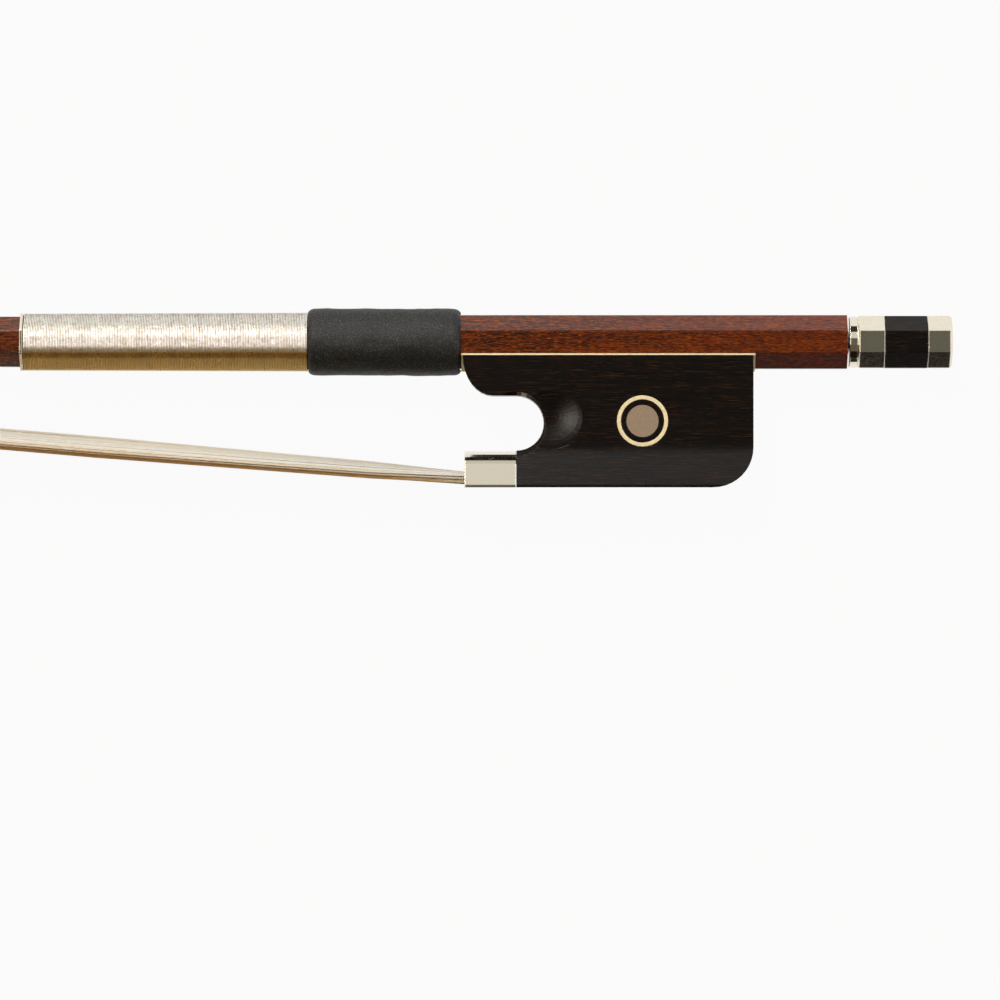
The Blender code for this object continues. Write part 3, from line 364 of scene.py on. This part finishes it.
def makeMetal(name, look):
    material, tree, shader = startMaterial(name, Metallic=1.0, Roughness=look["roughness"])
    source = objectCoordinates(tree)
    marks = along(tree, source, look["marks"], Detail=3.0, Roughness=0.6)
    cloud = along(tree, source, metalWear["cloud"], Detail=2.0, Roughness=0.5)
    both = addNode(tree, "Mix", {0: metalWear["mix"], 2: marks, 3: cloud}).outputs[0]
    tones = zip(metalWear["steps"], (look["worn"], look["color"]))
    color = addNode(tree, "ValToRGB", {0: both}, stops=tones).outputs[0]
    # painted reflection: below the stick's axis the wire's colour turns gold, as if it mirrored the
    # warm room on the hair's side
    if "paintedReflection" in look:
        tone, above, below = look["paintedReflection"]
        place = addNode(tree, "SeparateXYZ", {0: source})
        low = addNode(tree, "MapRange", {"Value": place.outputs["Y"],
                                         "From Min": axis.y + above * mm,
                                         "From Max": axis.y + below * mm})
        color = addNode(tree, "Mix", {0: low.outputs[0], 6: color, 7: tone},
                        data_type="RGBA").outputs[2]
    tree.links.new(color, shader.inputs["Base Color"])
    low, high = metalWear["span"]
    rough = addNode(tree, "MapRange", {"Value": both, "From Min": low, "From Max": high,
                                       "To Min": look["roughness"] * metalWear["dull"],
                                       "To Max": look["roughness"] * metalWear["bright"]})
    tree.links.new(rough.outputs[0], shader.inputs["Roughness"])
    bump = addNode(tree, "Bump", {"Height": marks, "Strength": metalWear["marks"],
                                  "Distance": metalWear["depth"] * mm,
                                  "Normal": softEdge(tree, look)})
    tree.links.new(bump.outputs[0], shader.inputs["Normal"])
    return material


metals = {name: makeMetal(name, look) for name, look in metalLooks.items()}


# Mother of pearl, sawn and polished flat: cloudy bands, greenish, brown, pinkish and pale

pearlLook = {
    "tones": [(0.32, "#a49c84"), (0.44, "#b09c84"), (0.56, "#bca08c"), (0.7, "#c6b498")],
    "clouds": (1.6, 0.8, 1.2), "distortion": 1.2, "roughness": 0.16,
}

pearl, tree, shader = startMaterial("motherOfPearl", Roughness=pearlLook["roughness"],
                                    Coat_Weight=0.5, Coat_Roughness=0.06)
clouds = along(tree, objectCoordinates(tree), pearlLook["clouds"], Detail=3.0, Roughness=0.6,
               Distortion=pearlLook["distortion"])
tint = addNode(tree, "ValToRGB", {0: clouds}, stops=pearlLook["tones"])
tree.links.new(tint.outputs[0], shader.inputs["Base Color"])


# Bone, sawn thin, scraped and buffed: ivory coloured, with faint lengthwise grain

boneLook = {
    "tones": [(0.35, "#d9cdb4"), (0.6, "#ece6d8")], "grain": (5, 0.3, 0.3), "roughness": 0.36,
}

bone, tree, shader = startMaterial("boneBuffed", Roughness=boneLook["roughness"])
grain = along(tree, objectCoordinates(tree), boneLook["grain"], Detail=3.0, Roughness=0.55)
tint = addNode(tree, "ValToRGB", {0: grain}, stops=boneLook["tones"])
tree.links.new(tint.outputs[0], shader.inputs["Base Color"])


# Thread and silk: wound or bound fibres, matt, with fine lines across

fiberLooks = {
    "linenThread": {"tones": [(0.35, "#a89c84"), (0.65, "#d8cdb6")], "turns": (0.35, 12, 12),
                    "roughness": 0.85},
    "silkThread": {"tones": [(0.35, "#6e5b3c"), (0.65, "#a08a60")], "turns": (0.22, 12, 12),
                   "roughness": 0.7},
}


def makeFiber(name, look):
    material, tree, shader = startMaterial(name, Roughness=look["roughness"], Sheen_Weight=0.3)
    turns = along(tree, objectCoordinates(tree), look["turns"], Detail=2.0, Roughness=0.5)
    tint = addNode(tree, "ValToRGB", {0: turns}, stops=look["tones"])
    tree.links.new(tint.outputs[0], shader.inputs["Base Color"])
    bump = addNode(tree, "Bump", {"Height": turns, "Strength": 0.5, "Distance": 0.05 * mm})
    tree.links.new(bump.outputs[0], shader.inputs["Normal"])
    return material


fibers = {name: makeFiber(name, look) for name, look in fiberLooks.items()}

finishes = {
    "pernambuco": pernambuco, "ebony": ebony, "silver": metals["silverPolished"],
    "silver_wire": metals["silverWireDrawn"], "brass": metals["brassFiled"],
    "steel": metals["steelTurned"], "pearl": pearl, "bone": bone, "maple": maple,
    "thread": fibers["linenThread"], "silk": fibers["silkThread"],
}

for row in frame["record"]["subparts"]:
    finish = finishes.get(row["material_slot"])
    if row["node"] == "underslide" or row["node"].startswith("eye_ring"):
        finish = metals["silverSatin"]      # left satin by the file
    if finish:
        for slot in nodes[row["node"]].material_slots:
            slot.material = finish
print("materials ready")


def makeActive(item):
    for other in bpy.context.selected_objects:
        other.select_set(False)
    item.select_set(True)
    bpy.context.view_layer.objects.active = item


def shapeWith(item, kind, **settings):
    # a modifier, applied at once
    modifier = item.modifiers.new(kind.lower(), kind)
    for name, value in settings.items():
        setattr(modifier, name, value)
    bpy.ops.object.modifier_apply(modifier=modifier.name)


def toPiece(item, name, body, finish, slot, *replaced):
    # the object's place goes into its mesh, then it rides and stands for its CAD nodes
    item.name = item.data.name = name
    bpy.ops.object.transform_apply(location=True, rotation=True, scale=True)
    item.data.materials.clear()
    item.data.materials.append(finish)
    if body:
        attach(item, body)
    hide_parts(*replaced)


def linesToMesh(name, lines, radius, resolution):
    # round wires along lists of points, made a mesh
    curve = bpy.data.curves.new(name, "CURVE")
    curve.dimensions = "3D"
    curve.bevel_depth = radius
    curve.bevel_resolution = resolution
    curve.use_fill_caps = True
    for line in lines:
        spline = curve.splines.new("POLY")
        spline.points.add(len(line) - 1)
        for slot, point in zip(spline.points, line):
            slot.co = (*point, 1.0)
    item = bpy.data.objects.new(name, curve)
    bpy.context.scene.collection.objects.link(item)
    makeActive(item)
    bpy.ops.object.convert(target="MESH")
    return bpy.context.object


# Winding: one silver wire in close turns over a silk underlay, with a narrow band at its far end

winding = {
    "front": -25.8, "rear": -73.6,        # millimetres from the front of the frog
    "wire": 0.25, "pitch": 0.262,         # its diameter, and from turn to turn
    "frontHalf": 4.306, "rearHalf": 4.15,  # half the stick's width at the two ends
    "cover": 0.445,                       # wire's middle over the flats of the stick
    "pointsATurn": 24,
    "underlay": (0.06, 0.26),             # its inside and outside over the flats
    "band": (0.26, 0.62), "bandLength": 0.45,
}


def octagonPoint(half, angle):
    # the point at this angle of an octagon with flats this far from the axis
    turn = (angle + math.pi / 8) % (math.pi / 4) - math.pi / 8
    reach = half / math.cos(turn)
    return Vector((0.0, reach * math.cos(angle), reach * math.sin(angle)))


def stickHalf(x):
    share = (winding["front"] - x) / (winding["front"] - winding["rear"])
    return winding["frontHalf"] + (winding["rearHalf"] - winding["frontHalf"]) * share


def windingLine():
    line = []
    margin = 0.5 * winding["wire"]
    start = winding["front"] - margin
    end = winding["rear"] + winding["bandLength"] + margin
    steps = round((start - end) / winding["pitch"] * winding["pointsATurn"])
    for i in range(steps + 1):
        x = start + (end - start) * i / steps
        angle = 2 * math.pi * (i + 0.5) / winding["pointsATurn"]
        point = octagonPoint((stickHalf(x) + winding["cover"]) * mm, angle)
        line.append(axis + point + Vector((x * mm, 0.0, 0.0)))
    return line


wire = linesToMesh("winding", [windingLine()], winding["wire"] * mm / 2, 1)
toPiece(wire, "winding", "stick", metals["silverWireDrawn"], "silver_wire", "winding_wire")


def octagonBar(front, rear, frontHalf, rearHalf, ends):
    # an octagonal bar round the stick's axis, from a cylinder of eight sides
    bpy.ops.mesh.primitive_cylinder_add(vertices=8, radius=1.0, depth=1.0, end_fill_type=ends)
    item = bpy.context.object
    for vertex in item.data.vertices:
        x, half = (front, frontHalf) if vertex.co.z > 0 else (rear, rearHalf)
        turn = round(math.atan2(vertex.co.y, vertex.co.x) / (math.pi / 4)) * math.pi / 4
        corner = octagonPoint(half * mm, turn + math.pi / 8)
        vertex.co = axis + corner + Vector((x * mm, 0.0, 0.0))
    bpy.ops.object.mode_set(mode="EDIT")
    bpy.ops.mesh.select_all(action="SELECT")
    bpy.ops.mesh.normals_make_consistent(inside=False)
    bpy.ops.object.mode_set(mode="OBJECT")
    return item


def octagonSleeve(front, rear, inner, outer):
    item = octagonBar(front, rear, stickHalf(front) + outer, stickHalf(rear) + outer, "NOTHING")
    shapeWith(item, "SOLIDIFY", thickness=(outer - inner) * mm, offset=-1.0, use_even_offset=True)
    return item


underlay = octagonSleeve(winding["front"], winding["rear"], *winding["underlay"])
toPiece(underlay, "windingUnderlay", "stick", fibers["silkThread"], "silk", "winding_sleeve")
band = octagonSleeve(winding["rear"] + winding["bandLength"], winding["rear"], *winding["band"])
toPiece(band, "windingBand", "stick", metals["silverPolished"], "silver_wire")
print("winding ready")


# Thumb leather: calfskin, dyed and glued round the stick, rounded at both ends and polished by
# the thumb: nearly black and half matt, with a fine grain, dust in its pores and pale scuffs

leather = {
    "front": -0.2, "rear": -26.0, "half": 5.6, "bore": 4.53,
    "corner": 1.9, "round": 1.2, "segments": 6,     # rounding of its long corners and of its ends
    "longEdge": 1.0, "endEdge": 0.01,               # edges longer along the bow, and shorter
    "spare": 5.0,                                   # how far the bore's cutter stands out
    "voxel": 0.25, "smooth": 12, "dent": 0.35, "dentSize": 5.0,
}

leatherLook = {
    "tones": [(0.40, "#070809"), (0.52, "#13171a"), (0.64, "#14110c")], "patches": (5.0, 3.0, 3.0),
    # dust and scuffs: size, colour, and where the noise begins and is full
    "marks": [((0.5, 0.5, 0.5), "#54585a", 0.55, 0.66),
              ((1.2, 0.25, 0.25), "#a8a08c", 0.60, 0.66)],
    "strength": 0.75, "grain": (0.55, 0.55, 0.55), "roughness": 0.55,
}


def makeLeather(look):
    material, tree, shader = startMaterial("calfLeather", Roughness=look["roughness"],
                                           Specular_IOR_Level=0.35)
    source = objectCoordinates(tree)
    patches = along(tree, source, look["patches"], Detail=4.0, Roughness=0.6)
    color = addNode(tree, "ValToRGB", {0: patches}, stops=look["tones"]).outputs[0]
    for size, tone, low, high in look["marks"]:
        marks = along(tree, source, size, Detail=4.0, Roughness=0.6)
        shown = addNode(tree, "MapRange", {"Value": marks, "From Min": low, "From Max": high,
                                           "To Max": look["strength"]})
        color = addNode(tree, "Mix", {0: shown.outputs[0], 6: color, 7: tone},
                        data_type="RGBA").outputs[2]
    tree.links.new(color, shader.inputs["Base Color"])
    placed = addNode(tree, "Mapping", {"Vector": source, "Scale": perMm(*look["grain"])})
    pebbles = addNode(tree, "TexVoronoi", {"Vector": placed.outputs[0]}, feature="SMOOTH_F1")
    height = addNode(tree, "Mix", {0: 0.5, 2: pebbles.outputs[0], 3: marks})
    bump = addNode(tree, "Bump", {"Height": height.outputs[0], "Strength": 0.5,
                                  "Distance": 0.05 * mm})
    tree.links.new(bump.outputs[0], shader.inputs["Normal"])
    return material


def roundEdges(item, radius, wanted):
    # rounds the edges whose reach along the bow passes the test
    bpy.ops.mesh.select_all(action="DESELECT")
    bpy.ops.object.mode_set(mode="OBJECT")
    for edge in item.data.edges:
        one, two = (item.data.vertices[i].co.x for i in edge.vertices)
        edge.select = wanted(abs(one - two))
    bpy.ops.object.mode_set(mode="EDIT")
    bpy.ops.mesh.bevel(offset=radius * mm, segments=leather["segments"], affect="EDGES")


def makeGrip():
    front, rear, half, bore = (leather[name] for name in ("front", "rear", "half", "bore"))
    grip = octagonBar(front, rear, half, half, "NGON")
    bpy.ops.object.mode_set(mode="EDIT")
    bpy.ops.mesh.select_mode(type="EDGE")
    roundEdges(grip, leather["corner"], lambda reach: reach > leather["longEdge"] * mm)
    roundEdges(grip, leather["round"], lambda reach: reach < leather["endEdge"] * mm)
    bpy.ops.object.mode_set(mode="OBJECT")
    cutter = octagonBar(front + leather["spare"], rear - leather["spare"], bore, bore, "NGON")
    makeActive(grip)
    shapeWith(grip, "BOOLEAN", object=cutter)
    bpy.data.objects.remove(cutter)
    shapeWith(grip, "REMESH", mode="VOXEL", voxel_size=leather["voxel"] * mm)
    shapeWith(grip, "SMOOTH", iterations=leather["smooth"])
    dents = bpy.data.textures.new("dents", "CLOUDS")
    dents.noise_scale = leather["dentSize"] * mm
    shapeWith(grip, "DISPLACE", texture=dents, texture_coords="LOCAL",
              strength=leather["dent"] * mm, mid_level=0.5)
    bpy.ops.object.shade_smooth()
    return grip


grip = makeGrip()
toPiece(grip, "leatherGrip", "stick", makeLeather(leatherLook), "leather", "leather_grip")
print("leather ready, %d faces" % len(grip.data.polygons))


# Hair: about three hundred loose horse hairs, spread by the ferrule, drawn together at the head
# and turned up there into the window of the plate. They are bleached, cleaned and combed: cream,
# with a soft shine. Towards the ribbon's lower edge they turn golden and darker, which is painted
# shade, and towards its upper edge near white, which is painted light. They are thicker and more
# than on a real bow, so that the ribbon closes

hair = {
    "count": 300, "radius": 0.115, "seed": 11,
    "inside": (5.0, -22.6), "mouth": (0.0, -22.6),     # in the ferrule, and where it leaves it
    "heel": (-640.5, 40.1), "drop": 2.6,               # at the plate's heel, and how far it hangs
    "window": [(-647.6, 42.5), (-649.0, 42.9), (-649.7, 43.3), (-650.0, 44.2), (-650.0, 45.0),
               (-649.4, 47.0)],                        # along the plate, round its bend, inside
    "stations": 42,
    # by x: the ribbon's width, its depth and how many degrees it is rolled towards the camera
    "widths": [(-650, 5.4), (-640, 5.6), (-610, 7.3), (-10, 10.2), (5, 10.2)],
    "depths": [(-650, 1.2), (-640, 1.0), (-610, 1.2), (-20, 1.4), (-0.3, 1.6), (5, 1.6)],
    "rolls": [(-640, 0.0), (-610, 5.5), (-530, 8.0), (-60, 13.0), (-15, 7.5), (0, 1.0), (5, 0.0)],
    # how far a strand leaves its place, in shares of depth and width, and in how many waves
    "depthWander": 0.0875, "widthWander": 0.0105, "waves": (0.6, 2.4),
    "tall": 3.4, "own": 0.24,       # the height over which the painted shade and light run, and each strand's own tone
    "blendEnd": -1.0,               # from the heel to here it follows the frog more and more
}


def between(table, x):
    for (x0, value0), (x1, value1) in zip(table, table[1:]):
        if x <= x1:
            return value0 + (value1 - value0) * max(0.0, (x - x0) / (x1 - x0))
    return table[-1][1]


def hairRoute():
    inside, mouth, heel = (Vector(hair[name]) for name in ("inside", "mouth", "heel"))
    route = [inside]
    for i in range(hair["stations"] + 1):
        share = i / hair["stations"]
        place = mouth.lerp(heel, share)
        place.y -= 4 * hair["drop"] * share * (1 - share)
        route.append(place)
    tail = [route.pop()] + [Vector(place) for place in hair["window"]]
    for _ in range(2):      # its corners are cut twice, which rounds them
        cut = [tail[0]]
        for here, there in zip(tail, tail[1:]):
            cut += [here.lerp(there, 0.25), here.lerp(there, 0.75)]
        tail = cut + [tail[-1]]
    return route + tail


def hairLines():
    # the strands, and at each of their points a tone: 0 at the ribbon's lower edge, 1 at its upper,
    # which paints shade at the lower edge and light at the upper, plus each strand's own tone
    chance = random.Random(hair["seed"])
    route = hairRoute()
    last = len(route) - 1
    steps = [route[min(i + 1, last)] - route[max(i - 1, 0)] for i in range(last + 1)]
    lines, tones = [], []
    for _ in range(hair["count"]):
        side, layer = chance.uniform(-0.5, 0.5), chance.uniform(-0.5, 0.5)
        phase, waves = chance.uniform(0.0, 2 * math.pi), chance.uniform(*hair["waves"])
        own = chance.uniform(-0.5, 0.5) * hair["own"]
        line = []
        for j, (middle, step) in enumerate(zip(route, steps)):
            swing = math.sin(phase + waves * 2 * math.pi * j / last)
            depth = between(hair["depths"], middle.x) * (layer + hair["depthWander"] * swing)
            across = between(hair["widths"], middle.x) * (side + hair["widthWander"] * swing)
            roll = math.radians(between(hair["rolls"], middle.x))
            height = depth * math.cos(roll) - across * math.sin(roll)
            place = middle + Vector((step.y, -step.x)).normalized() * height
            reach = across * math.cos(roll) + depth * math.sin(roll)
            line.append(axis + Vector((*place, reach)) * mm)
            # painted shade and light: the tone follows the point's height across the ribbon, plus
            # the strand's own tone
            tones.append(0.5 + height / hair["tall"] + own)
        lines.append(line)
    return lines, tones


hairLook = {
    # tones from the lower edge to the upper one, along the bow and beside the head: along the bow
    # from painted shade, golden, at the lower edge to painted light, near white, at the upper;
    # beside the head from pale to tan
    "along": [(0.1, "#c08a38"), (0.24, "#dcae64"), (0.32, "#f6ead2"), (0.6, "#fffdf6"),
              (0.92, "#fcf3e0")],
    "head": [(0.15, "#f4e6ca"), (0.45, "#e0c69c"), (0.8, "#c8a478")],
    "headEnd": (-620, -500),        # between these x the head's tones turn into the others
    "strands": (60.0, 0.3, 0.3), "span": (0.3, 0.7), "shift": 0.15, "roughness": 0.4,
}


def makeHairFinish(look):
    material, tree, shader = startMaterial("horseHair", Roughness=look["roughness"],
                                           Sheen_Weight=0.7)
    tone = addNode(tree, "Attribute", attribute_name="tone")
    source = objectCoordinates(tree)
    strands = along(tree, source, look["strands"], Detail=2.0, Roughness=0.5)
    low, high = look["span"]
    shift = addNode(tree, "MapRange", {"Value": strands, "From Min": low, "From Max": high,
                                       "To Min": -look["shift"], "To Max": look["shift"]})
    # the painted shade and light of the tone, moved a little by each strand's own streaks
    shade = addNode(tree, "Math", {0: tone.outputs["Fac"], 1: shift.outputs[0]})
    plain, head = [addNode(tree, "ValToRGB", {0: shade.outputs[0]}, stops=look[name]).outputs[0]
                   for name in ("along", "head")]
    place = addNode(tree, "SeparateXYZ", {0: source})
    begin, end = (axis.x + x * mm for x in look["headEnd"])
    there = addNode(tree, "MapRange", {"Value": place.outputs["X"], "From Min": begin,
                                       "From Max": end, "To Min": 1.0, "To Max": 0.0})
    color = addNode(tree, "Mix", {0: there.outputs[0], 6: plain, 7: head}, data_type="RGBA")
    tree.links.new(color.outputs[2], shader.inputs["Base Color"])
    return material


lines, tones = hairLines()
strands = linesToMesh("hair", lines, hair["radius"] * mm, 0)
ring = len(strands.data.vertices) // len(tones)
caps = len(strands.data.vertices) - ring * len(tones)      # the strands' end caps come first
toned = strands.data.attributes.new("tone", "FLOAT", "POINT")
toned.data.foreach_set("value", [0.5] * caps + [tone for tone in tones for _ in range(ring)])
toPiece(strands, "hairRibbon", None, makeHairFinish(hairLook), "hair", "hair_ribbon")
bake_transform(strands)
print("hair ready, %d strands" % len(lines))
